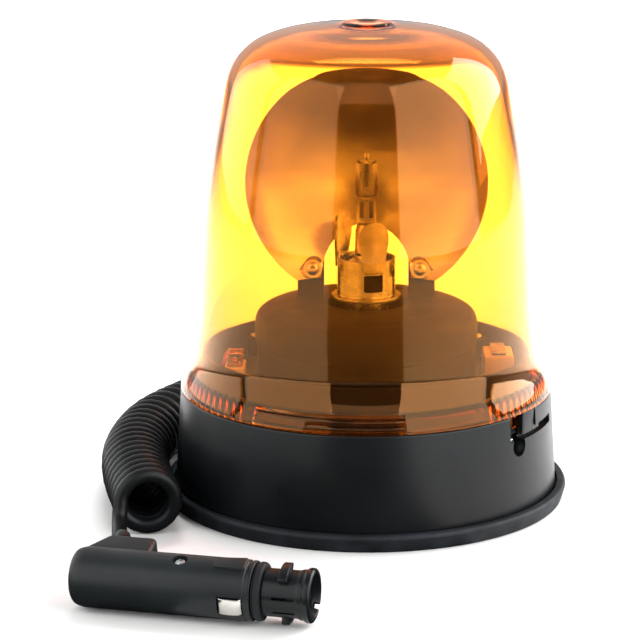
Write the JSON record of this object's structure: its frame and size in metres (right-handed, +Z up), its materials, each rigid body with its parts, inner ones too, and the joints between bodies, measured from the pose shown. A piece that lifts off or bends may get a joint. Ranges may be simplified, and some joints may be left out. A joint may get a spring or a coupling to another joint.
{
  "type": "rotating warning beacon",
  "caption": "Rotating amber beacon: a lamp and turning dish under a bayonet dome, on a black magnetic base with a rubber foot, curly cord and lighter plug.",
  "frame": {"origin": "centre of the beacon's underside, where its rubber foot stands", "axes": "+Z up along the dome's and the rotor's axis, -Y towards the front, where the dish faces at rest, +X to the beacon's left as seen from behind, so to the right in a front view"},
  "size_m": [0.1951, 0.3397, 0.1992],
  "materials": {
    "amber_lens": "clear amber polycarbonate, polished outside, fine prismatic ribs inside the skirt",
    "black_housing": "satin black moulded ABS",
    "black_chassis": "black moulded nylon",
    "plug_black": "satin black moulded ABS",
    "foot_rubber": "moulded EPDM rubber",
    "cable_jacket": "smooth polyurethane cable jacket",
    "bright_steel": "zinc or nickel plated steel",
    "ferrite": "sintered ferrite",
    "polished_dish": "vacuum-metallised dish",
    "brass": "bare brass",
    "bronze": "sintered oil bronze",
    "pale_nylon": "natural nylon or film-capacitor case",
    "red_sleeve": "red PVC sleeve",
    "clear_glass": "clear quartz glass"
  },
  "bodies": {
    "base": {"foot_ring": "foot_rubber", "base_housing": "black_housing", "lock_screw": "bright_steel", "magnet_cup": "bright_steel", "ring_magnet": "ferrite", "magnet_bolt": "bright_steel", "chassis_tray": "black_chassis", "lens_seal": "foot_rubber", "tray_screw_1": "bright_steel", "tray_screw_2": "bright_steel", "tray_screw_3": "bright_steel", "tray_screw_4": "bright_steel", "noise_choke": "red_sleeve", "terminal_block": "pale_nylon", "terminal_front": "brass", "terminal_rear": "brass", "capacitor": "pale_nylon", "capacitor_strap": "bright_steel", "strap_screw": "bright_steel", "feed_wire_1": "red_sleeve", "feed_wire_2": "cable_jacket", "spindle_tube": "bright_steel", "spindle_nut": "bright_steel", "thrust_washer": "pale_nylon", "retaining_ring": "bright_steel", "motor_can": "bright_steel", "motor_end_cap": "black_chassis", "motor_screw_1": "bright_steel", "motor_screw_2": "bright_steel", "bulb_holder": "bright_steel", "holder_insulator": "pale_nylon", "bulb_base": "bright_steel", "bulb_glass": "clear_glass", "cord_gland": "foot_rubber", "cord_lead": "cable_jacket", "curly_cord": "cable_jacket", "cord_tail": "cable_jacket", "plug_shell_top": "plug_black", "plug_shell_bottom": "plug_black", "plug_screw": "bright_steel", "plug_nose": "plug_black", "pin_spring": "bright_steel", "plug_end_ring": "foot_rubber"},
    "rotor": {"rotor_drum": "black_chassis", "ring_gear": "pale_nylon", "rotor_bush": "bronze", "reflector": "polished_dish", "reflector_rivet_left": "bright_steel", "reflector_rivet_right": "bright_steel"},
    "motor_rotor": {"motor_shaft": "bright_steel", "drive_pinion": "brass"},
    "lens": {"dome_lens": "amber_lens"},
    "front_clip": {"clip_front": "bright_steel"},
    "rear_clip": {"clip_rear": "bright_steel"},
    "contact_rear": {"side_contact_rear": "bright_steel"},
    "contact_front": {"side_contact_front": "bright_steel"},
    "pin": {"centre_pin": "bright_steel"},
    "collar": {"adapter_collar": "plug_black"}
  },
  "joints": [
    {"name": "rotor_spin", "type": "hinge", "parent": "base", "child": "rotor", "pos_m": [0, 0, 0.07], "axis": [0, 0, 1], "continuous": true},
    {"name": "motor_spin", "type": "hinge", "parent": "base", "child": "motor_rotor", "pos_m": [0, 0.03375, 0.04], "axis": [0, 0, 1], "continuous": true},
    {"name": "lens_twist", "type": "hinge", "parent": "base", "child": "lens", "pos_m": [0, 0, 0.1], "axis": [0, 0, 1], "range_deg": [-6, 0]},
    {"name": "clip_front_flex", "type": "hinge", "parent": "base", "child": "front_clip", "pos_m": [0.00326, -0.01217, 0.0972], "axis": [0.9659, 0.2588, 0], "range_deg": [0, 6], "stiffness_Nm_per_rad": 0.5},
    {"name": "clip_rear_flex", "type": "hinge", "parent": "base", "child": "rear_clip", "pos_m": [-0.01069, 0.00668, 0.0972], "axis": [-0.5299, -0.848, 0], "range_deg": [0, 6], "stiffness_Nm_per_rad": 0.5},
    {"name": "side_contact_rear_press", "type": "slide", "parent": "base", "child": "contact_rear", "axis": [-0.2228, -0.9351, -0.2756], "range_m": [0, 0.001], "stiffness_N_per_m": 600},
    {"name": "side_contact_front_press", "type": "slide", "parent": "base", "child": "contact_front", "axis": [0.2228, 0.9351, 0.2756], "range_m": [0, 0.001], "stiffness_N_per_m": 600},
    {"name": "centre_pin_press", "type": "slide", "parent": "base", "child": "pin", "axis": [-0.9728, 0.2317, 0], "range_m": [0, 0.0025], "stiffness_N_per_m": 800},
    {"name": "collar_twist", "type": "hinge", "parent": "base", "child": "collar", "pos_m": [-0.1092, -0.1466, 0.0122], "axis": [0.9728, -0.2317, 0], "range_deg": [0, 30]}
  ],
  "couplings": [
    {"joint": "motor_spin", "follows": "rotor_spin", "ratio": 6.4}
  ]
}
